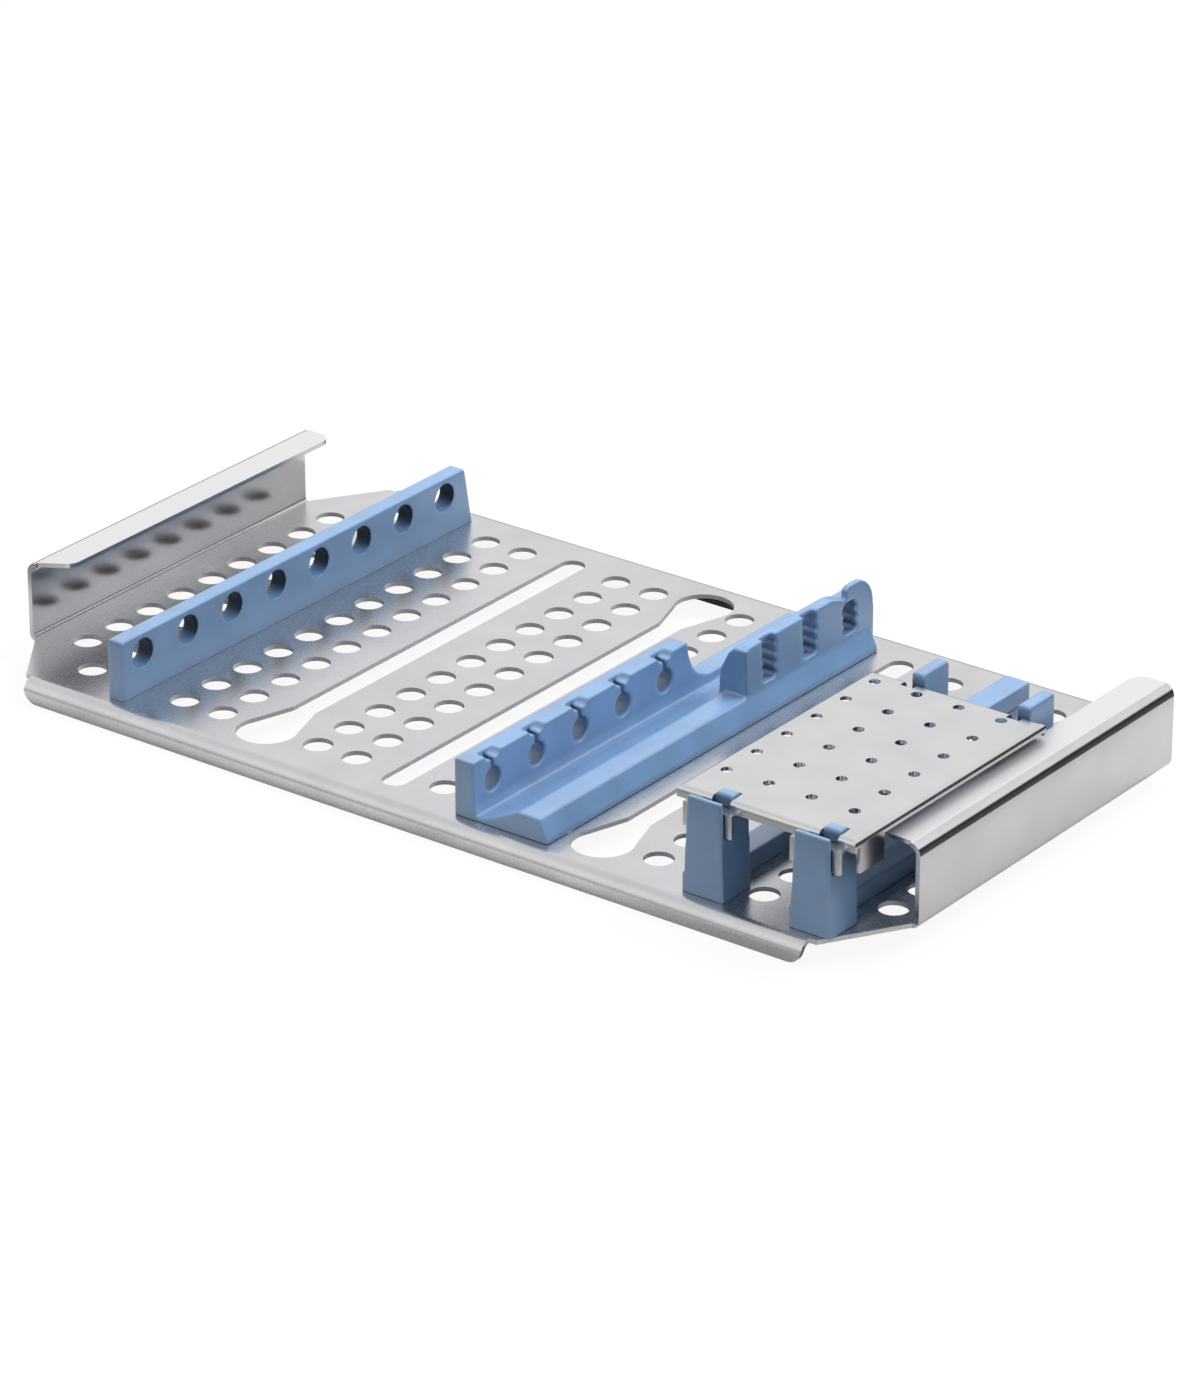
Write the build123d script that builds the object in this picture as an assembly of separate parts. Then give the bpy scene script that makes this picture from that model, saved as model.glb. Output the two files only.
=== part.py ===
from build123d import *
import os

os.makedirs("parts", exist_ok=True)

# Dental instrument cassette: a perforated steel tray with four silicone rails and a raised rack.
# Millimetres. Z = 0 is the table, X runs along the tray's length, Y towards its far side.

# Sheet and tray
SHEET = 1.2
FLOOR_TOP = 6.0
FLOOR_BOTTOM = FLOOR_TOP - SHEET
HALF_LENGTH = 139.4
HALF_WIDTH = 78.4
EDGE_BEND = 3.5
FLANGE_HALF_LENGTH = 122.4
FLANGE_CORNER = 4.0
WALL_HALF_LENGTH = 56.0
RIGHT_WALL_SHIFT = 2.0
LEFT_WALL_SHIFT = -0.5
WALL_TOP = FLOOR_TOP + 21.2
WALL_FOOT_BEND = 2.0
LIP_BEND = 3.0
LIP_WIDTH = 11.0
LIP_CORNER = 4.0
LEFT_LIP_SLANT = 5.8
RIGHT_LIP_SLANT = 1.2
RIGHT_LIP_NEAR_CORNER = 1.5
CORNER_CUT_X = 124.4

# Perforation
PITCH = 12.5
HOLE_RADIUS = 3.9
HOLE_COLUMNS_FULL = (-112.6, -81.4, -68.9, -37.6, -25.1, 3.0, 69.0, 100.5)
HOLE_COLUMNS_SHORT = (-125.1, 129.5)

# Keyhole slots
SLOT_WIDTH = 7.1
KEYHOLE_RADIUS = 8.0
KEYHOLE_Y = 63.75
KEYHOLE_NECK = 15.0
SLOT_PLAIN_END = 67.5
SLOT_LEFT_X = -53.25
SLOT_CENTRE_X = -9.5
SLOT_RIGHT_X = 53.0

# Instrument places, shared by the left and the middle rail
PLACE_COUNT = 8
PLACE_PITCH = 17.8
PLACE_FIRST_Y = -64.9
RAIL_NEAR_Y = -73.0
RAIL_FAR_Y = 71.9
PLACES = [PLACE_FIRST_Y + i * PLACE_PITCH for i in range(PLACE_COUNT)]

# Left rail
LEFT_RAIL_X = -95.5
LEFT_RAIL_WIDTH = 5.0
LEFT_RAIL_HEIGHT = 16.5
LEFT_HOLE_RADIUS = 3.9
LEFT_HOLE_HEIGHT = 10.9
LEFT_RAIL_END_SLANT = 3.5

# Middle rail
GAP = 0.1
MIDDLE_X = 14.25
MIDDLE_WALL = 5.9
MIDDLE_WALL_HEIGHT = 15.4
MIDDLE_STRIP_HEIGHT = 3.4
MIDDLE_CHANNEL_X = 23.5
MIDDLE_CREST_X = 34.0
MIDDLE_FACE_X = 40.2
MIDDLE_FOOT_X = 43.0
MIDDLE_CREST_HEIGHT = 6.3
MIDDLE_STUD_X = 35.0
MIDDLE_WALL_END_Y = 16.0
MIDDLE_FALL_END_Y = 25.6
MIDDLE_FAR_Y = 70.5
MIDDLE_FOOT_END_Y = 68.4
FAR_WALL_START_Y = 13.8
FAR_WALL_HEIGHT = 19.4
FAR_WALL_TOP_WIDTH = 3.4
FAR_WALL_FOOT_WIDTH = 9.0
VALLEY_START_Y = 52.0
VALLEY_HEIGHT = 17.4
END_POST_START_Y = 58.3
END_POST_HEIGHT = 20.7
END_POST_TOP_WIDTH = 1.8
TALL_NOTCH_LOW = 7.4
TALL_NOTCH_HIGH = 17.6
POST_NOTCH_HIGH = 16.2
LOBE_PITCH = 2.8
DIP_DEPTH = 1.5
DIP_LENGTH = 6.0
DIP_REACH = 3.0
NEAR_PLACES = 5

# Rack rails
POST_X = 89.8
POST_SPACING = 31.3
POST_NEAR_Y = -73.0
POST_CHEEK = 1.4
POST_BACK_Y = -61.25
POST_TOP_WIDTH = 9.8
POST_BASE_WIDTH = 12.0
TAB_GROOVE = 1.7
TAB_GROOVE_BOTTOM = 22.3
LUG_SEAT = 27.0
FAR_GROOVE = 2.2
FAR_GROOVE_BOTTOM = 23.4
CHEEK_TOP = 32.0
NUB_TOP = 32.5
NUB_WIDTH = 5.0
NUB_LENGTH = 3.4
NUB_OFFSET = 2.3
STRIP_WIDTH = 7.4
STRIP_OFFSET = -2.6
STRIP_HEIGHT = 5.0
STRIP_FAR_Y = 67.5
FAR_SHELF_WIDTH = 10.5
FAR_SHELF_OFFSET = -1.0
FAR_FIN_WIDTH = 3.8
FAR_FIN_OFFSET = 2.8
FAR_SHELF_Y = 4.0
FAR_FIN_END_Y = 24.4
FAR_FIN_TOP = 34.0
RACK_ENTRY_Y = 42.0
RACK_SLOT_NEAR_Y = -71.6
RACK_SLOT_FAR_Y = 67.1

# Rack plate
RACK_SHEET = 1.0
RACK_TOP = FLOOR_TOP + 25.6
RACK_LEFT_X = 79.1
RACK_RIGHT_X = 131.2
RACK_NEAR_Y = -69.2
RACK_FAR_Y = 12.4
RIM_DEPTH = 3.0
SIDE_RIM_DEPTH = 2.1
RIM_BEND = 1.5
TAB_WIDTH = 14.4
TAB_BOTTOM = 22.8
TAB_OFFSET = 2.2
FAR_TAB_BOTTOM = 23.8
NOTCH_WIDTH = 5.4
NOTCH_DEPTH = 5.4
FAR_NOTCH_WIDTH = 3.8
FAR_NOTCH_OFFSET = 2.0
SIDE_TAB_START_Y = -67.0
SIDE_TAB_LENGTH = 10.0
SIDE_TAB_BOTTOM = 22.6
RACK_HOLE_RADIUS = 1.5
RACK_HOLES_X = 4
RACK_HOLES_Y = 6
RACK_FIRST_HOLE = (83.9, -55.4)

# Studs: x, y, then the radii and heights of the four stages of each kind
LEFT_STUDS_Y = (-54.0, -18.0, 18.0, 54.0)
MIDDLE_STUDS_Y = (-45.0, -9.0, 27.0, 63.0)
RACK_STUDS_Y = (-66.0, -24.0, 18.0, 60.0)
SMALL_STUD = {"head": 4.0, "head_thickness": 1.2, "neck": 2.0, "shank": 1.2, "bulb": 1.7}
SLOT_STUD = {"head": 6.5, "head_thickness": 1.7, "neck": 3.2, "shank": 1.7, "bulb": 2.5}
SHANK_LENGTH = 1.8
BULB_LENGTH = 1.4
SOCKET_PLAY = 0.05


def block(x_range, y_range, z_range):
    """A box between two values along each axis."""
    size = [high - low for low, high in (x_range, y_range, z_range)]
    centre = [(high + low) / 2 for low, high in (x_range, y_range, z_range)]
    return Pos(*centre) * Box(*size)


def around(centre, width):
    """The two ends of a width about its centre."""
    return (centre - width / 2, centre + width / 2)


def along_y(points, y_range):
    """A prism along Y from a closed outline of (x, z) points."""
    face = make_face(Polyline(*points, close=True))
    plane = Plane(origin=(0, y_range[0], 0), x_dir=(1, 0, 0), z_dir=(0, -1, 0))
    return extrude(plane * face, amount=-(y_range[1] - y_range[0]))


def along_x(face, x_range):
    """A prism along X from a face drawn in (y, z)."""
    plane = Plane(origin=(x_range[0], 0, 0), x_dir=(0, 1, 0), z_dir=(1, 0, 0))
    return extrude(plane * face, amount=x_range[1] - x_range[0])


def upright(face, z_range):
    """A prism along Z from a face drawn in (x, y)."""
    return extrude(Pos(0, 0, z_range[0]) * face, amount=z_range[1] - z_range[0])


def bent_strip(outer, inner, outer_radii, inner_radii):
    """A face of bent sheet: an outer and an inner line with rounded bends, closed at both ends."""
    outside = FilletPolyline(*outer, radius=outer_radii)
    inside = FilletPolyline(*inner, radius=inner_radii)
    ends = [Line(outer[0], inner[0]), Line(outer[-1], inner[-1])]
    return make_face([outside, inside, *ends])


def keyhole_slot(near_y, far_y, entry_y, towards):
    """A slot along Y at x = 0 with a round entry that narrows into it towards +Y or -Y."""
    length = far_y - near_y
    slot = Pos(0, (far_y + near_y) / 2) * SlotOverall(length, SLOT_WIDTH, rotation=90)
    if entry_y is None:
        return slot
    entry = Pos(0, entry_y) * Circle(KEYHOLE_RADIUS)
    half = SLOT_WIDTH / 2
    wide = KEYHOLE_RADIUS * 0.9
    start = entry_y + towards * KEYHOLE_RADIUS * 0.43
    stop = entry_y + towards * KEYHOLE_NECK
    neck = make_face(Polyline((-wide, start), (wide, start), (half, stop), (-half, stop), close=True))
    return slot + entry + neck


def floor_outline():
    """The flat floor, with its four corners cut off where the end walls stop."""
    x = HALF_LENGTH - WALL_FOOT_BEND
    y = HALF_WIDTH - EDGE_BEND
    right = [WALL_HALF_LENGTH + RIGHT_WALL_SHIFT, RIGHT_WALL_SHIFT - WALL_HALF_LENGTH]
    left = [LEFT_WALL_SHIFT - WALL_HALF_LENGTH, WALL_HALF_LENGTH + LEFT_WALL_SHIFT]
    points = [(CORNER_CUT_X, y), (x, right[0]), (x, right[1]), (CORNER_CUT_X, -y)]
    points += [(-CORNER_CUT_X, -y), (-x, left[0]), (-x, left[1]), (-CORNER_CUT_X, y)]
    return make_face(Polyline(*points, close=True))


def long_flange():
    """The near long edge: a quarter bend and a short leg down to the table."""
    outer_y = -HALF_WIDTH
    bend_y = outer_y + EDGE_BEND
    outer = [(bend_y + 1, FLOOR_TOP), (outer_y, FLOOR_TOP), (outer_y, 0)]
    inner = [(bend_y + 1, FLOOR_BOTTOM), (outer_y + SHEET, FLOOR_BOTTOM), (outer_y + SHEET, 0)]
    face = bent_strip(outer, inner, EDGE_BEND, EDGE_BEND - SHEET)
    flange = along_x(face, (-FLANGE_HALF_LENGTH, FLANGE_HALF_LENGTH))
    lower_corners = flange.edges().filter_by(Axis.Y).group_by(Axis.Z)[0]
    return fillet(lower_corners, FLANGE_CORNER)


def end_wall(near_slant, near_corner):
    """The right end: a wall bent up from the floor, with a lip bent back over it."""
    x = HALF_LENGTH
    start_x = x - WALL_FOOT_BEND - 1
    lip_x = x - LIP_WIDTH
    outer = [(start_x, FLOOR_BOTTOM), (x, FLOOR_BOTTOM), (x, WALL_TOP), (lip_x, WALL_TOP)]
    inner = [
        (start_x, FLOOR_TOP),
        (x - SHEET, FLOOR_TOP),
        (x - SHEET, WALL_TOP - SHEET),
        (lip_x, WALL_TOP - SHEET),
    ]
    face = bent_strip(
        outer,
        inner,
        [WALL_FOOT_BEND, LIP_BEND],
        [WALL_FOOT_BEND - SHEET, LIP_BEND - SHEET],
    )
    plane = Plane(origin=(0, -WALL_HALF_LENGTH, 0), x_dir=(1, 0, 0), z_dir=(0, -1, 0))
    wall = extrude(plane * face, amount=-2 * WALL_HALF_LENGTH)
    return wall - lip_end_waste(near_slant, near_corner)


def lip_end_waste(near_slant, near_corner):
    """What is cut from the lip's ends: the near one slants, the far one is square, corners round."""
    tip_x = HALF_LENGTH - LIP_WIDTH
    root_x = HALF_LENGTH - LIP_BEND
    reach = WALL_HALF_LENGTH + 1
    kept = Polyline(
        (root_x, reach),
        (tip_x, reach),
        (tip_x, near_slant - WALL_HALF_LENGTH),
        (root_x, 0.8 - WALL_HALF_LENGTH),
        close=True,
    )
    kept_face = make_face(kept) & Pos(root_x, 0) * Rectangle(4 * LIP_WIDTH, 2 * WALL_HALF_LENGTH)
    kept_face = fillet(kept_face.vertices().group_by(Axis.X)[0].sort_by(Axis.Y)[-1], LIP_CORNER)
    kept_face = fillet(kept_face.vertices().group_by(Axis.X)[0].sort_by(Axis.Y)[0], near_corner)
    low = WALL_TOP - SHEET - 0.5
    high = WALL_TOP + 1
    whole = block((tip_x - 1, root_x), (-reach, reach), (low, high))
    return whole - upright(kept_face, (low, high))


def holes_and_slots():
    """Everything that goes through the floor, as one flat drawing."""
    cut = []
    for x in HOLE_COLUMNS_FULL:
        cut += [Pos(x, row * PITCH) * Circle(HOLE_RADIUS) for row in range(-5, 6)]
    for x in HOLE_COLUMNS_SHORT:
        cut += [Pos(x, row * PITCH) * Circle(HOLE_RADIUS) for row in range(-4, 5)]
    near_entry = keyhole_slot(-KEYHOLE_Y, SLOT_PLAIN_END, -KEYHOLE_Y, 1)
    far_entry = keyhole_slot(-SLOT_PLAIN_END - 2.5, KEYHOLE_Y, KEYHOLE_Y, -1)
    rack_slot = keyhole_slot(RACK_SLOT_NEAR_Y, RACK_SLOT_FAR_Y, RACK_ENTRY_Y, -1)
    cut += [Pos(x, 0) * near_entry for x in (SLOT_LEFT_X, MIDDLE_STUD_X, SLOT_RIGHT_X)]
    cut += [Pos(SLOT_CENTRE_X, 0) * far_entry]
    cut += [Pos(x + STRIP_OFFSET, 0) * rack_slot for x in (POST_X, POST_X + POST_SPACING)]
    cut += [Pos(LEFT_RAIL_X, y) * Circle(SMALL_STUD["neck"] + 0.1) for y in LEFT_STUDS_Y]
    return cut


def base_tray():
    """The one bent sheet: floor, two end walls with lips, two long flanges."""
    floor = upright(floor_outline(), (FLOOR_BOTTOM, FLOOR_TOP))
    depth = (FLOOR_BOTTOM - 1, FLOOR_TOP + 1)
    floor -= [upright(face, depth) for face in holes_and_slots()]
    flange = long_flange()
    right_wall = Pos(0, RIGHT_WALL_SHIFT) * end_wall(RIGHT_LIP_SLANT, RIGHT_LIP_NEAR_CORNER)
    left_wall = Pos(0, LEFT_WALL_SHIFT) * mirror(end_wall(LEFT_LIP_SLANT, LIP_CORNER), Plane.YZ)
    return floor + flange + mirror(flange, Plane.XZ) + right_wall + left_wall


def stud(x, y, size, top_of_head, rail_bottom):
    """A double-headed stud: flat head under the sheet, neck through it, bulb inside the rail."""
    stages = [
        (size["head"], top_of_head - size["head_thickness"], top_of_head),
        (size["neck"], top_of_head, rail_bottom),
        (size["shank"], rail_bottom, rail_bottom + SHANK_LENGTH),
        (size["bulb"], rail_bottom + SHANK_LENGTH, rail_bottom + SHANK_LENGTH + BULB_LENGTH),
    ]
    return Pos(x, y) * stacked(stages)


def socket(x, y, size, rail_bottom):
    """The hollow in a rail's foot that a stud's shank and bulb fill."""
    shoulder = rail_bottom + SHANK_LENGTH
    stages = [
        (size["shank"] + SOCKET_PLAY, rail_bottom - 1, shoulder),
        (size["bulb"] + SOCKET_PLAY, shoulder - SOCKET_PLAY, shoulder + BULB_LENGTH + SOCKET_PLAY),
    ]
    return Pos(x, y) * stacked(stages)


def stacked(stages):
    """Cylinders on one upright axis, each a (radius, bottom, top)."""
    discs = [Pos(0, 0, (low + high) / 2) * Cylinder(radius, high - low) for radius, low, high in stages]
    whole = discs[0]
    for disc in discs[1:]:
        whole += disc
    return whole


def left_rail():
    """A plain wall with eight round holes for instrument tips."""
    x_range = around(LEFT_RAIL_X, LEFT_RAIL_WIDTH)
    top = FLOOR_TOP + LEFT_RAIL_HEIGHT
    outline = Polyline(
        (RAIL_NEAR_Y, FLOOR_TOP),
        (RAIL_FAR_Y, FLOOR_TOP),
        (RAIL_FAR_Y - LEFT_RAIL_END_SLANT, top),
        (RAIL_NEAR_Y, top),
        close=True,
    )
    rail = along_x(make_face(outline), x_range)
    rail = fillet(rail.edges().group_by(Axis.Z)[-1], 0.6)
    height = FLOOR_TOP + LEFT_HOLE_HEIGHT
    for y in PLACES:
        rail -= along_x(Pos(y, height) * Circle(LEFT_HOLE_RADIUS), x_range)
    for y in LEFT_STUDS_Y:
        rail -= socket(LEFT_RAIL_X, y, SMALL_STUD, FLOOR_TOP)
    return rail


def near_notch(x_range):
    """A round hole with a slit up to a shallow dip in the front of the wall's top."""
    hole = Pos(0, 8.2) * Circle(3.2)
    slit = Pos(0, 12.0) * Rectangle(1.4, 4.0)
    dip = Pos(0, MIDDLE_WALL_HEIGHT) * SlotOverall(DIP_LENGTH, 2 * DIP_DEPTH)
    front = (x_range[1] - DIP_REACH, x_range[1])
    return along_x(hole + slit, x_range) + along_x(dip, front)


def tall_notch(high, lobe_count):
    """A tall cut-out whose sides are ribbed by a stack of lobes."""
    low = TALL_NOTCH_LOW
    core = Pos(0, (low + high) / 2) * Rectangle(4.8, high - low)
    lobes = [Pos(0, low + 1.2 + i * LOBE_PITCH) * SlotOverall(6.3, 1.9) for i in range(lobe_count)]
    return core + lobes


def middle_rail():
    """A stepped rail: near wall on its left, channel and crest, far wall standing on the crest."""
    bottom = FLOOR_TOP + GAP
    channel = FLOOR_TOP + 1.0
    crest = FLOOR_TOP + MIDDLE_CREST_HEIGHT
    strip = FLOOR_TOP + MIDDLE_STRIP_HEIGHT
    wall_x = MIDDLE_X + MIDDLE_WALL
    profile = [
        (MIDDLE_X, bottom),
        (MIDDLE_X, strip),
        (wall_x, strip),
        (wall_x + 0.8, channel),
        (MIDDLE_CHANNEL_X, channel),
        (MIDDLE_CREST_X, crest),
        (MIDDLE_FACE_X, crest),
        (MIDDLE_FOOT_X, channel),
        (MIDDLE_FOOT_X, bottom),
    ]
    rail = along_y(profile, (RAIL_NEAR_Y, MIDDLE_FOOT_END_Y))
    rail += near_wall() + far_wall()
    for y in MIDDLE_STUDS_Y:
        rail -= socket(MIDDLE_STUD_X, y, SLOT_STUD, bottom)
    return rail


def near_wall():
    """The rail's tall near part, which falls in a hollow curve to the low strip."""
    low = FLOOR_TOP + 1.0
    high = FLOOR_TOP + MIDDLE_WALL_HEIGHT
    strip = FLOOR_TOP + MIDDLE_STRIP_HEIGHT
    start = (MIDDLE_WALL_END_Y, high)
    end = (MIDDLE_FALL_END_Y, strip)
    fall = Spline(start, end, tangents=[(0.12, -1), (1, -0.15)])
    outline = [
        fall,
        Line(end, (MIDDLE_FALL_END_Y, low)),
        Line((MIDDLE_FALL_END_Y, low), (RAIL_NEAR_Y, low)),
        Line((RAIL_NEAR_Y, low), (RAIL_NEAR_Y, high)),
        Line((RAIL_NEAR_Y, high), start),
    ]
    x_range = (MIDDLE_X, MIDDLE_X + MIDDLE_WALL)
    wall = along_x(make_face(outline), x_range)
    for y in PLACES[:NEAR_PLACES]:
        wall -= Pos(0, y, FLOOR_TOP) * near_notch(x_range)
    return wall


def far_wall():
    """The far part: a wall that thins upwards, ribbed notches, a valley and a rounded end post."""
    low = FLOOR_TOP + GAP
    high = FLOOR_TOP + FAR_WALL_HEIGHT
    valley = FLOOR_TOP + VALLEY_HEIGHT
    top = FLOOR_TOP + END_POST_HEIGHT
    end = MIDDLE_FAR_Y
    round_start = (END_POST_START_Y + 4.9, top)
    round_end = (end, top - 6.7)
    outline = [
        Polyline(
            round_end,
            (end, low),
            (FAR_WALL_START_Y, low),
            (FAR_WALL_START_Y, high - 0.6),
            (FAR_WALL_START_Y + 3.0, high),
            (VALLEY_START_Y, high),
            (END_POST_START_Y - 0.7, valley),
            (END_POST_START_Y, valley),
            (END_POST_START_Y + 0.1, top - 0.9),
            (END_POST_START_Y + 1.6, top),
            round_start,
        ),
        ThreePointArc(round_start, (end - 2.1, top - 2.3), round_end),
    ]
    face_x = MIDDLE_FACE_X
    back_x = face_x - FAR_WALL_FOOT_WIDTH
    section = [
        (back_x, low),
        (face_x, low),
        (face_x, FLOOR_TOP + MIDDLE_CREST_HEIGHT),
        (face_x - 0.5, top),
        (face_x - 0.5 - END_POST_TOP_WIDTH, top),
        (face_x - 0.5 - FAR_WALL_TOP_WIDTH, high),
        (back_x + 2.8, high - 2.6),
        (back_x + 0.5, high - 7.4),
    ]
    wall = along_y(section, (FAR_WALL_START_Y, end))
    wide = (back_x - 1, face_x + 1)
    wall &= along_x(make_face(outline), wide)
    post_back = (back_x - 1, face_x - 0.5 - END_POST_TOP_WIDTH)
    wall -= block(post_back, (END_POST_START_Y - 0.7, end + 1), (valley - 1.0, top + 1))
    front = (face_x - 2.2, face_x + 1)
    for y in PLACES[NEAR_PLACES:]:
        place = Pos(0, y, FLOOR_TOP)
        if y < VALLEY_START_Y:
            wall -= place * along_x(tall_notch(TALL_NOTCH_HIGH, 4), wide)
            wall -= place * along_x(Pos(0, 18.0) * Rectangle(5.4, 6.0), front)
        else:
            wall -= place * along_x(tall_notch(POST_NOTCH_HIGH, 3), wide)
    return wall


def near_post(x):
    """The near post: front cheek, groove for the rack's tab, rear part with a nub."""
    base = POST_BASE_WIDTH / 2
    top = POST_TOP_WIDTH / 2
    foot = FLOOR_TOP + GAP
    profile = [(x - base, foot), (x - top, CHEEK_TOP), (x + top, CHEEK_TOP), (x + base, foot)]
    post = along_y(profile, (POST_NEAR_Y, POST_BACK_Y))
    groove_y = POST_NEAR_Y + POST_CHEEK
    rear_y = RACK_NEAR_Y + RACK_SHEET + 0.3
    wide = (x - base - 1, x + base + 1)
    post -= block(wide, (groove_y, groove_y + TAB_GROOVE), (TAB_GROOVE_BOTTOM, CHEEK_TOP + 1))
    post -= block(wide, (groove_y, rear_y), (LUG_SEAT, CHEEK_TOP + 1))
    shelf = RACK_TOP - RACK_SHEET
    post -= block(wide, (rear_y, POST_BACK_Y), (shelf, CHEEK_TOP + 1))
    nub = block(around(x + NUB_OFFSET, NUB_WIDTH), (rear_y, rear_y + NUB_LENGTH), (shelf - 1, NUB_TOP))
    return post + fillet(nub.edges().group_by(Axis.Z)[-1], 0.8)


def far_post(x):
    """The far post: wide shelf under the rack, groove for the far rim's tab, tall outer fin."""
    shelf_x = around(x + FAR_SHELF_OFFSET, FAR_SHELF_WIDTH)
    fin_x = around(x + FAR_FIN_OFFSET, FAR_FIN_WIDTH)
    groove_end = RACK_FAR_Y + 0.7
    groove_start = groove_end - FAR_GROOVE
    bottom = FLOOR_TOP + GAP
    shelf = block(shelf_x, (FAR_SHELF_Y, groove_start), (bottom, RACK_TOP - RACK_SHEET))
    foot = block(shelf_x, (groove_start, FAR_FIN_END_Y), (bottom, FAR_GROOVE_BOTTOM))
    fin = block(fin_x, (groove_end, FAR_FIN_END_Y), (bottom, FAR_FIN_TOP))
    fin = fillet(fin.edges().group_by(Axis.Z)[-1], 0.9)
    return shelf + foot + fin


def rack_rail(x):
    """One low strip with the two posts that hold one side of the rack."""
    centre = x + STRIP_OFFSET
    x_range = around(centre, STRIP_WIDTH)
    bottom = FLOOR_TOP + GAP
    rail = block(x_range, (POST_NEAR_Y, STRIP_FAR_Y), (bottom, FLOOR_TOP + STRIP_HEIGHT))
    rail += near_post(x) + far_post(x)
    for y in RACK_STUDS_Y:
        rail -= socket(centre, y, SLOT_STUD, bottom)
    return rail


def near_tab(x):
    """A lug of the near rim that steps outwards and hangs into the near post's groove."""
    x_range = around(x, TAB_WIDTH)
    step_top = RACK_TOP - RIM_DEPTH + 0.5
    outer_y = RACK_NEAR_Y - TAB_OFFSET
    step = block(x_range, (outer_y, RACK_NEAR_Y + RACK_SHEET), (step_top - RACK_SHEET, step_top))
    return step + block(x_range, (outer_y, outer_y + RACK_SHEET), (TAB_BOTTOM, step_top))


def far_tab(x):
    """A lug of the far rim that hangs straight down into the far post's groove."""
    y_range = (RACK_FAR_Y - RACK_SHEET, RACK_FAR_Y)
    return block(around(x, TAB_WIDTH), y_range, (FAR_TAB_BOTTOM, RACK_TOP - RIM_DEPTH + 0.5))


def rack_plate():
    """The raised rack: perforated plate, rim all round, tabs for the posts and a side tab."""
    x_range = (RACK_LEFT_X, RACK_RIGHT_X)
    y_range = (RACK_NEAR_Y, RACK_FAR_Y)
    rim_bottom = RACK_TOP - RIM_DEPTH
    pan = block(x_range, y_range, (rim_bottom, RACK_TOP))
    pan = fillet(pan.edges().group_by(Axis.Z)[-1], RIM_BEND)
    inside_x = (RACK_LEFT_X + RACK_SHEET, RACK_RIGHT_X - RACK_SHEET)
    inside_y = (RACK_NEAR_Y + RACK_SHEET, RACK_FAR_Y - RACK_SHEET)
    pan -= block(inside_x, inside_y, (rim_bottom, RACK_TOP - RACK_SHEET))
    side_rim_bottom = RACK_TOP - SIDE_RIM_DEPTH
    for side_x in ((RACK_LEFT_X, inside_x[0]), (inside_x[1], RACK_RIGHT_X)):
        pan -= block(side_x, inside_y, (rim_bottom, side_rim_bottom))
    through = (rim_bottom - 1, RACK_TOP + 1)
    for x in (POST_X, POST_X + POST_SPACING):
        notch_x = around(x + NUB_OFFSET, NOTCH_WIDTH)
        pan -= block(notch_x, (RACK_NEAR_Y - 1, RACK_NEAR_Y + NOTCH_DEPTH), through)
        pan += near_tab(x)
        far_notch_x = around(x + FAR_NOTCH_OFFSET, FAR_NOTCH_WIDTH)
        pan -= block(far_notch_x, (RACK_FAR_Y - 3, RACK_FAR_Y + 1), through)
        pan += far_tab(x + FAR_SHELF_OFFSET)
    side_y = (SIDE_TAB_START_Y, SIDE_TAB_START_Y + SIDE_TAB_LENGTH)
    pan += block((inside_x[1], RACK_RIGHT_X), side_y, (SIDE_TAB_BOTTOM, side_rim_bottom + 0.5))
    first_x, first_y = RACK_FIRST_HOLE
    for i in range(RACK_HOLES_X):
        for j in range(RACK_HOLES_Y):
            hole = Pos(first_x + i * PITCH, first_y + j * PITCH) * Circle(RACK_HOLE_RADIUS)
            pan -= upright(hole, through)
    return pan


def write(shape, node):
    """One named STEP file for each node."""
    shape.label = node
    export_step(shape, f"parts/{node}.step")


def write_studs(prefix, x, places, size, top_of_head, rail_bottom):
    """The numbered studs of one rail."""
    for number, y in enumerate(places, start=1):
        write(stud(x, y, size, top_of_head, rail_bottom), f"{prefix}_{number}")


write(base_tray(), "base_tray")
write(left_rail(), "left_rail")
write(middle_rail(), "middle_rail")
write(rack_rail(POST_X), "rack_rail_left")
write(rack_rail(POST_X + POST_SPACING), "rack_rail_right")
write(rack_plate(), "rack_plate")

write_studs("left_rail_stud", LEFT_RAIL_X, LEFT_STUDS_Y, SMALL_STUD, FLOOR_BOTTOM, FLOOR_TOP)

moving_head_top = FLOOR_BOTTOM - GAP
moving_rail_bottom = FLOOR_TOP + GAP
rack_stud_x = POST_X + STRIP_OFFSET
for prefix, x, places in (
    ("middle_rail_stud", MIDDLE_STUD_X, MIDDLE_STUDS_Y),
    ("rack_left_stud", rack_stud_x, RACK_STUDS_Y),
    ("rack_right_stud", rack_stud_x + POST_SPACING, RACK_STUDS_Y),
):
    write_studs(prefix, x, places, SLOT_STUD, moving_head_top, moving_rail_bottom)
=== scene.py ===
import math

import bmesh
import bpy
from mathutils import Matrix, Vector


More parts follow.
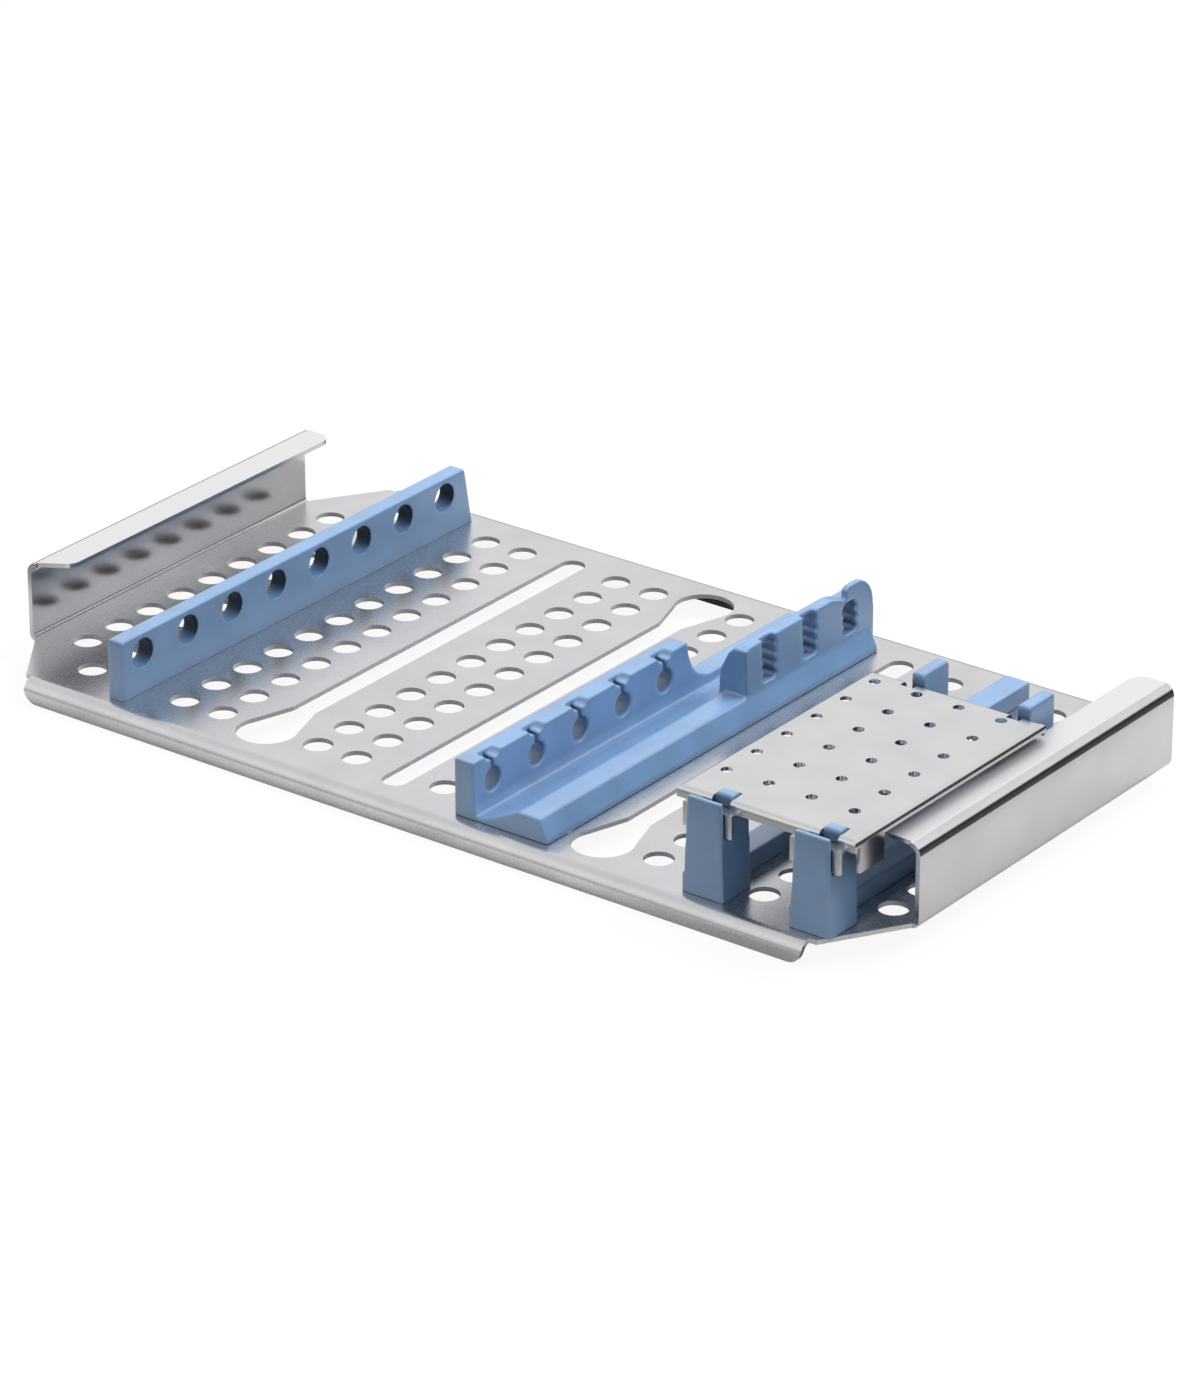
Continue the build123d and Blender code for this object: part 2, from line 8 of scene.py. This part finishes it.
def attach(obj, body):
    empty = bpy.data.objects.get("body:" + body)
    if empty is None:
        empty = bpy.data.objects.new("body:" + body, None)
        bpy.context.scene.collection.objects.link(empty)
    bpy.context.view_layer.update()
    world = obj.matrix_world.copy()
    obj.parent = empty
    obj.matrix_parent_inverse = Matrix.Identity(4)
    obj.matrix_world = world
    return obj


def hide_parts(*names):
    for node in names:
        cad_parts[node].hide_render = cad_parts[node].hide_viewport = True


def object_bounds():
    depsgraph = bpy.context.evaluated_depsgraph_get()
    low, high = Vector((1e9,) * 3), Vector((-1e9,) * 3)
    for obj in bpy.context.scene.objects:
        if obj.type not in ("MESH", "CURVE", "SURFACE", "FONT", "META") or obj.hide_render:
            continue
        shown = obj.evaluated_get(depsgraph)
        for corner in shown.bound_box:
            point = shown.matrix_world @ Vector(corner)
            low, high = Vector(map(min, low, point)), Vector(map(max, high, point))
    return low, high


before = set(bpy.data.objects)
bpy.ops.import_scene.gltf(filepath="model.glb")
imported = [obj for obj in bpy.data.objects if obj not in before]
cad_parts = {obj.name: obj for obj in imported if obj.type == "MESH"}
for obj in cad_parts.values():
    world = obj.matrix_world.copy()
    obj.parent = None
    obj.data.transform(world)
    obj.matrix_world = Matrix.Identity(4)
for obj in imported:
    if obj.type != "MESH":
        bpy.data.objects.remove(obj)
CAD_BOX = [list(corner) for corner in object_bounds()]

# ---------------------------------------------------------------- camera
AZIMUTH = math.radians(36.9263)
ELEVATION = math.radians(25.1612)
FOCAL_PX = 6379.1
FRAME_W, FRAME_H = 1200, 1392
DISTANCE = 1.6295
AIM_POINT = Vector((0.0005, 0.0, 0.006))
AIM_PX = (588.49, 698.79)
SENSOR_MM = 36.0
NEAREST, FARTHEST = 0.05, 20.0


def add_camera():
    """The photograph's camera: AIM_POINT falls on AIM_PX at DISTANCE along the view."""
    back = Vector(
        (
            math.sin(AZIMUTH) * math.cos(ELEVATION),
            -math.cos(AZIMUTH) * math.cos(ELEVATION),
            math.sin(ELEVATION),
        )
    )
    right = Vector((math.cos(AZIMUTH), math.sin(AZIMUTH), 0.0))
    up = back.cross(right)
    offset_right = (AIM_PX[0] - FRAME_W / 2) / FOCAL_PX * DISTANCE
    offset_down = (AIM_PX[1] - FRAME_H / 2) / FOCAL_PX * DISTANCE
    place = AIM_POINT - right * offset_right + up * offset_down + back * DISTANCE
    data = bpy.data.cameras.new("camera")
    data.sensor_width = SENSOR_MM
    data.sensor_fit = "AUTO"
    data.lens = FOCAL_PX / FRAME_H * SENSOR_MM
    data.clip_start = NEAREST
    data.clip_end = FARTHEST
    camera = bpy.data.objects.new("camera", data)
    bpy.context.scene.collection.objects.link(camera)
    rotation = Matrix((right, up, back)).transposed()
    camera.matrix_world = Matrix.Translation(place) @ rotation.to_4x4()
    bpy.context.scene.camera = camera


add_camera()


# ---------------------------------------------------------------- node trees
class Graph:
    """A node tree under construction: each method adds a node and returns its output socket."""

    def __init__(self, tree):
        self.tree = tree
        tree.nodes.clear()

    def add(self, kind, values=(), **settings):
        """A node with settings, whose listed inputs take numbers, colours or other sockets."""
        node = self.tree.nodes.new("ShaderNode" + kind)
        for name, value in settings.items():
            setattr(node, name, value)
        for key, value in dict(values).items():
            if isinstance(value, bpy.types.NodeSocket):
                self.tree.links.new(value, node.inputs[key])
            else:
                node.inputs[key].default_value = value
        return node

    def math(self, operation, first, second=0.0):
        """Arithmetic on two numbers or sockets."""
        return self.add("Math", {0: first, 1: second}, operation=operation).outputs[0]

    def step(self, value, low, high, at_low=0.0, at_high=1.0):
        """A smooth step of value between two levels."""
        limits = {"From Min": low, "From Max": high, "To Min": at_low, "To Max": at_high}
        node = self.add("MapRange", {"Value": value, **limits}, interpolation_type="SMOOTHSTEP")
        return node.outputs["Result"]

    def ramp(self, value, stops):
        """Grey or coloured stops, each a (position, level or colour), along value."""
        node = self.add("ValToRGB", {"Fac": value})
        elements = node.color_ramp.elements
        while len(elements) < len(stops):
            elements.new(0.5)
        for element, (position, tone) in zip(elements, stops):
            element.position = position
            element.color = (*tone, 1) if isinstance(tone, tuple) else (tone, tone, tone, 1)
        return node.outputs["Color"]

    def product(self, *values):
        """Two or more numbers or sockets multiplied together."""
        total = values[0]
        for value in values[1:]:
            total = self.math("MULTIPLY", total, value)
        return total

    def facing_up(self):
        """The surface normal's Z: one on a level top, nothing on an upright face."""
        normal = self.add("NewGeometry").outputs["Normal"]
        return self.add("SeparateXYZ", {0: normal}).outputs["Z"]

    def painted_hollow_shade(self):
        """Painted shade: one on open faces, less in the hollows and corners that other surfaces
        enclose, where it darkens the colour.
        """
        share = self.add("AmbientOcclusion", {"Distance": HOLLOW_REACH}, samples=6).outputs["AO"]
        return self.step(share, HOLLOW_DARK_AT, HOLLOW_CLEAR_AT, HOLLOW_DARKEST, 1.0)

    def mix_shaders(self, share, first, second):
        """A blend of two shaders."""
        return self.add("MixShader", {0: share, 1: first, 2: second}).outputs[0]

    def noise(self, vector, scale, detail=3.0):
        """Cloud noise in real coordinates."""
        values = {"Vector": vector, "Scale": scale, "Detail": detail}
        return self.add("TexNoise", values).outputs["Fac"]


def new_material(name):
    """A material with an empty graph, and the socket that its surface goes to."""
    material = bpy.data.materials.new(name)
    material.use_nodes = True
    graph = Graph(material.node_tree)
    output = graph.add("OutputMaterial")
    return material, graph, output.inputs["Surface"]


# ---------------------------------------------------------------- light and stage
# The sky's level from straight below (0) to the horizon (0.5) to straight above (1).
SKY = (
    (0.0, 0.35),
    (0.5, 0.42),
    (0.56, 0.66),
    (0.66, 0.96),
    (0.8, 0.97),
    (0.93, 0.78),
    (1.0, 0.74),
)
SKY_AS_LIGHT = 0.52
FLAG_TOWARDS = Vector((0.69, 0.72, 0.0)).normalized()
FLAG_LEVEL = 0.04
FLAG_LOW, FLAG_HIGH = 0.28, 0.38
FLAG_FADES_FROM, FLAG_FULL_FROM = 0.72, 0.9
TABLE_REACH = 6.0
TABLE_TOP = -0.0002
# Painted shade in the table's colour away from the camera: level near the tray, dimmer far out and
# towards the flag, darkest under the tray.
TABLE_LEVEL = 0.57
TABLE_BRIGHT_TO, TABLE_DIM_FROM = 0.026, 0.036
TABLE_FAR, TABLE_BY_FLAG, TABLE_UNDER = 0.225, 0.05, 0.10
BY_FLAG_FROM, BY_FLAG_TO = 0.04, 0.09
UNDER_FROM, UNDER_TO = -0.012, 0.0
TABLE_GLOW = 0.92
WHITE = (1.0, 1.0, 1.0, 1.0)


def add_world():
    """A studio sky with a low black flag behind on the right; plain white as background."""
    world = bpy.data.worlds.new("studio")
    bpy.context.scene.world = world
    world.use_nodes = True
    graph = Graph(world.node_tree)
    output = graph.add("OutputWorld")
    direction = graph.add("TexCoord").outputs["Generated"]
    height = graph.add("SeparateXYZ", {0: direction}).outputs["Z"]
    position = graph.add("Math", {0: height, 1: 0.5, 2: 0.5}, operation="MULTIPLY_ADD")
    sky = graph.ramp(position.outputs[0], SKY)
    facing = graph.add("VectorMath", {0: direction, 1: FLAG_TOWARDS}, operation="DOT_PRODUCT")
    beside = graph.step(facing.outputs["Value"], FLAG_FADES_FROM, FLAG_FULL_FROM)
    low = graph.step(height, FLAG_LOW, FLAG_HIGH, 1.0, 0.0)
    flag = graph.math("MULTIPLY", beside, low)
    black = (FLAG_LEVEL, FLAG_LEVEL, FLAG_LEVEL, 1)
    studio = graph.add("MixRGB", {"Fac": flag, "Color1": sky, "Color2": black}).outputs[0]
    path = graph.add("LightPath")
    lit = graph.add("Background", {"Color": studio, "Strength": SKY_AS_LIGHT}).outputs[0]
    mirrored = graph.add("Background", {"Color": studio, "Strength": 1.0}).outputs[0]
    seen = graph.add("Background", {"Color": WHITE, "Strength": 1.0}).outputs[0]
    unseen = graph.mix_shaders(path.outputs["Is Glossy Ray"], lit, mirrored)
    shader = graph.mix_shaders(path.outputs["Is Camera Ray"], unseen, seen)
    world.node_tree.links.new(shader, output.inputs["Surface"])


def add_lamp(name, place, size, energy):
    """A square soft lamp that points at the tray and doesn't show in mirrors."""
    data = bpy.data.lights.new(name, "AREA")
    data.shape = "SQUARE"
    data.size = size
    data.energy = energy
    lamp = bpy.data.objects.new(name, data)
    bpy.context.scene.collection.objects.link(lamp)
    lamp.location = place
    lamp.rotation_euler = (-Vector(place)).to_track_quat("-Z", "Y").to_euler()
    lamp.visible_glossy = False


def pale_table():
    """Nearly white to the camera, with a faint shadow.

    In mirrors and to other surfaces its colour carries painted shade: dark under the tray, dimmer
    further out, most of all towards the flag.
    """
    material, graph, surface = new_material("pale_table")
    spot = graph.add("TexCoord").outputs["Object"]
    place = graph.add("SeparateXYZ", {0: spot})
    beyond_x = graph.math("SUBTRACT", graph.math("ABSOLUTE", place.outputs["X"]), CAD_BOX[1][0])
    beyond_y = graph.math("SUBTRACT", graph.math("ABSOLUTE", place.outputs["Y"]), CAD_BOX[1][1])
    distance = graph.math("MAXIMUM", beyond_x, beyond_y)
    along = graph.add("VectorMath", {0: spot, 1: FLAG_TOWARDS}, operation="DOT_PRODUCT")
    far = graph.step(
        along.outputs["Value"], BY_FLAG_FROM, BY_FLAG_TO, TABLE_FAR, TABLE_BY_FLAG
    )
    outside = graph.step(distance, TABLE_BRIGHT_TO, TABLE_DIM_FROM, TABLE_LEVEL, far)
    inside = graph.step(distance, UNDER_FROM, UNDER_TO, TABLE_UNDER, 1.0)
    path = graph.add("LightPath").outputs["Is Camera Ray"]
    # Painted shade in the table's colour: dark under the tray, dimmer further out.
    mirrored = graph.product(outside, inside)
    tone = graph.add("Mix", {"Factor": path, "A": mirrored, "B": TABLE_GLOW})
    diffuse = graph.add("BsdfDiffuse", {"Color": tone.outputs["Result"]}).outputs[0]
    glow = graph.add("Emission", {"Color": WHITE, "Strength": 1.0}).outputs[0]
    shader = graph.mix_shaders(graph.product(path, TABLE_GLOW), diffuse, glow)
    material.node_tree.links.new(shader, surface)
    return material


def add_table():
    """A wide pale table just under the tray."""
    mesh = bpy.data.meshes.new("table")
    corners = [(-1, -1), (1, -1), (1, 1), (-1, 1)]
    points = [(x * TABLE_REACH, y * TABLE_REACH, TABLE_TOP) for x, y in corners]
    mesh.from_pydata(points, [], [(0, 1, 2, 3)])
    mesh.materials.append(pale_table())
    table = bpy.data.objects.new("table", mesh)
    bpy.context.scene.collection.objects.link(table)


bpy.context.scene.view_settings.view_transform = "Standard"
add_world()
add_lamp("key", (-0.35, 0.45, 1.3), 1.3, 15.0)
add_lamp("fill", (0.6, 0.8, 1.1), 0.7, 15.0)
add_table()


# ---------------------------------------------------------------- materials
# Painted shade in the silicone's hollows: how far it looks, and where it darkens the colour.
HOLLOW_REACH = 0.012
HOLLOW_DARK_AT, HOLLOW_CLEAR_AT, HOLLOW_DARKEST = 0.12, 0.60, 0.10
# Heights on the tray: its foot bends, the level tops of its lips, and its floor's punched edges.
POLISHED_FROM, POLISHED_TO = 0.0064, 0.009
LIP_FADES_IN, LIP_FADES_OUT = (0.02712, 0.02718), (0.0273, 0.0274)
EDGE_FADES_IN, EDGE_FADES_OUT = (0.0046, 0.0048), (0.00602, 0.00612)
# Painted light: the paler tone that the level lip tops and punched edges take; their matt, rougher
# finish below is gloss only.
PAINTED_LIGHT_TONE = (0.80, 0.80, 0.81, 1)
EDGE_MATT = 0.9
LIP_ROUGHER = 0.30
LIP_MATT = 0.25
SILICONE_IOR = 1.75
SILICONE_COAT_ROUGHNESS = 0.4


def shade(tint, factor):
    """A tint made lighter or darker."""
    return tuple(min(1.0, part * factor) for part in tint)


def steel(name, tint, roughness):
    """Satin stainless sheet: cloudy tone, uneven gloss, rolling grain, matt punched edges and lips
    whose paler tone is painted light.

    roughness is that of the floor and that of everything above it.
    """
    material, graph, surface = new_material(name)
    place = graph.add("TexCoord").outputs["Object"]
    rolled = graph.add("Mapping", {"Vector": place, "Scale": (1.0, 0.12, 1.0)}).outputs[0]
    cloud = graph.noise(place, 70.0)
    grain = graph.noise(rolled, 1400.0)
    tone = graph.ramp(cloud, ((0.3, shade(tint, 0.95)), (0.72, shade(tint, 1.04))))
    relief = {"Strength": 0.02, "Distance": 0.00002, "Height": grain}
    bump = graph.add("Bump", relief).outputs[0]
    height = graph.add("SeparateXYZ", {0: place}).outputs["Z"]
    facing_up = graph.facing_up()

    lip = graph.product(
        graph.step(height, *LIP_FADES_IN),
        graph.step(height, *LIP_FADES_OUT, 1.0, 0.0),
        graph.step(facing_up, 0.85, 0.95),
    )
    edge = graph.product(
        graph.step(graph.math("ABSOLUTE", facing_up), 0.2, 0.5, 1.0, 0.0),
        graph.step(height, *EDGE_FADES_IN),
        graph.step(height, *EDGE_FADES_OUT, 1.0, 0.0),
    )
    polish = graph.step(height, POLISHED_FROM, POLISHED_TO, *roughness)
    uneven = graph.step(grain, 0.2, 0.8, -0.015, 0.022)
    gloss = graph.math("ADD", polish, graph.product(lip, LIP_ROUGHER))
    matt = graph.math("MAXIMUM", graph.product(edge, EDGE_MATT), graph.product(lip, LIP_MATT))
    # Painted light: the level lip tops and punched edges take the paler tone.
    pale = graph.math("MAXIMUM", edge, lip)
    shader = graph.add(
        "BsdfPrincipled",
        {
            "Base Color": graph.add(
                "MixRGB", {"Fac": pale, "Color1": tone, "Color2": PAINTED_LIGHT_TONE}
            ).outputs[0],
            "Metallic": graph.math("SUBTRACT", 1.0, matt),
            "Roughness": graph.math("ADD", gloss, uneven),
            "Normal": bump,
        },
    )
    material.node_tree.links.new(shader.outputs[0], surface)
    return material


def silicone(name, tint, coat, specular, upright_shade):
    """Matt moulded silicone: soft cloudy tone, a fine skin, painted shade in hollows.

    The last argument is painted shade on upright faces: their tone against that of level ones.
    """
    material, graph, surface = new_material(name)
    place = graph.add("TexCoord").outputs["Object"]
    cloud = graph.noise(place, 90.0, 4.0)
    skin = graph.noise(place, 1500.0, 2.0)
    tone = graph.ramp(cloud, ((0.32, shade(tint, 0.88)), (0.7, shade(tint, 1.1))))
    # Painted shade: the colour darkens in hollows, and on upright faces as the last argument sets.
    level = graph.product(graph.painted_hollow_shade(), graph.step(graph.facing_up(), 0.45, 0.9, upright_shade, 1.0))
    tone = graph.add("VectorMath", {0: tone, 3: level}, operation="SCALE").outputs["Vector"]
    relief = {"Strength": 0.12, "Distance": 0.00004, "Height": skin}
    shader = graph.add(
        "BsdfPrincipled",
        {
            "Base Color": tone,
            "Roughness": graph.step(cloud, 0.2, 0.8, 0.36, 0.46),
            "Normal": graph.add("Bump", relief).outputs[0],
            "IOR": SILICONE_IOR,
            "Specular IOR Level": specular,
            "Coat Weight": coat,
            "Coat Roughness": SILICONE_COAT_ROUGHNESS,
            "Coat IOR": SILICONE_IOR,
        },
    )
    material.node_tree.links.new(shader.outputs[0], surface)
    return material


TRAY_STEEL = steel("tray_steel", (0.69, 0.69, 0.705), (0.27, 0.16))
RACK_STEEL = steel("rack_steel", (0.70, 0.70, 0.71), (0.22, 0.22))
STUD_STEEL = steel("stud_steel", (0.60, 0.60, 0.61), (0.28, 0.28))
BLUE = silicone("blue_silicone", (0.155, 0.302, 0.54), coat=1.0, specular=0.5, upright_shade=1.0)
# Painted shade: a darker, duller copy of the blue for the insides of the left rail's holes, its
# upright faces darker still.
SHADED_BORE_BLUE = silicone(
    "blue_silicone_bore_painted_shade", (0.12, 0.25, 0.46), coat=0.0, specular=0.15, upright_shade=0.22
)


def material_of(node):
    """The material that a CAD node wears."""
    if "stud" in node:
        return STUD_STEEL
    if node == "base_tray":
        return TRAY_STEEL
    if node == "rack_plate":
        return RACK_STEEL
    return BLUE


# ---------------------------------------------------------------- pieces
# Each moulded node's body and the grain of its skin.
MOULDED = {
    "left_rail": ("tray", 0.00035),
    "middle_rail": ("middle_rail_set", 0.00040),
    "rack_rail_left": ("rack_rails", 0.00035),
    "rack_rail_right": ("rack_rails", 0.00035),
}
BORE_COUNT, BORE_FIRST_Y, BORE_PITCH = 8, -0.0649, 0.0178
BORE_HEIGHT, BORE_RADIUS = 0.0169, 0.0041
BORE_WALL_TURN = 0.75
JOIN_WITHIN = 0.000002
FOOT_WITHIN = 0.00001
FOOT_ALLOWANCE = 0.0015
ROUNDING_PASSES = 8


def cad_shape(node):
    """A CAD node's shape in the row frame, its corners joined."""
    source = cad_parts[node]
    shape = bmesh.new()
    shape.from_mesh(source.data)
    shape.transform(source.matrix_world)
    bmesh.ops.remove_doubles(shape, verts=shape.verts, dist=JOIN_WITHIN)
    return shape


def rounded_skin(shape, name, grain):
    """The shape as one fine closed skin whose edges are all rounded."""
    mesh = bpy.data.meshes.new(name)
    shape.to_mesh(mesh)
    shape.free()
    holder = bpy.data.objects.new(name, mesh)
    bpy.context.scene.collection.objects.link(holder)
    skin = holder.modifiers.new("skin", "REMESH")
    skin.mode = "VOXEL"
    skin.voxel_size = grain
    skin.use_smooth_shade = True
    soft = holder.modifiers.new("rounding", "SMOOTH")
    soft.factor = 0.5
    soft.iterations = ROUNDING_PASSES
    ready = holder.evaluated_get(bpy.context.evaluated_depsgraph_get())
    holder.data = bpy.data.meshes.new_from_object(ready)
    holder.modifiers.clear()
    return holder


def cut_flat(mesh, height):
    """Cuts the mesh off at a height, so that its foot is flat with a crisp edge."""
    shape = bmesh.new()
    shape.from_mesh(mesh)
    everything = [*shape.verts, *shape.edges, *shape.faces]
    bmesh.ops.bisect_plane(
        shape, geom=everything, plane_co=(0, 0, height), plane_no=(0, 0, 1), clear_inner=True
    )
    rim = [edge for edge in shape.edges if edge.is_boundary]
    bmesh.ops.triangle_fill(shape, edges=rim, use_beauty=True, normal=(0, 0, -1))
    shape.to_mesh(mesh)
    shape.free()


def paint_bore_shade(mesh):
    """Gives the faces inside the left rail's round holes a duller material whose darker colour is
    painted shade.
    """
    mesh.materials.append(SHADED_BORE_BLUE)
    for face in mesh.polygons:
        row = min(max(round((face.center.y - BORE_FIRST_Y) / BORE_PITCH), 0), BORE_COUNT - 1)
        beside = face.center.y - BORE_FIRST_Y - row * BORE_PITCH
        inside = math.hypot(beside, face.center.z - BORE_HEIGHT) < BORE_RADIUS
        if inside and abs(face.normal.x) < BORE_WALL_TURN:
            face.material_index = 1


def mould(node, body, grain):
    """The silicone piece that stands for a CAD node, rounded everywhere but at its flat foot."""
    shape = cad_shape(node)
    foot = min(corner.co.z for corner in shape.verts)
    for corner in shape.verts:
        if corner.co.z < foot + FOOT_WITHIN:
            corner.co.z -= FOOT_ALLOWANCE
    piece = rounded_skin(shape, node + "_skin", grain)
    cut_flat(piece.data, foot)
    piece.data.materials.clear()
    piece.data.materials.append(BLUE)
    # Painted shade inside the left rail's holes.
    if node == "left_rail":
        paint_bore_shade(piece.data)
    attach(piece, body)
    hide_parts(node)


for node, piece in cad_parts.items():
    piece.data.materials.clear()
    piece.data.materials.append(material_of(node))

for node, (body, grain) in MOULDED.items():
    mould(node, body, grain)
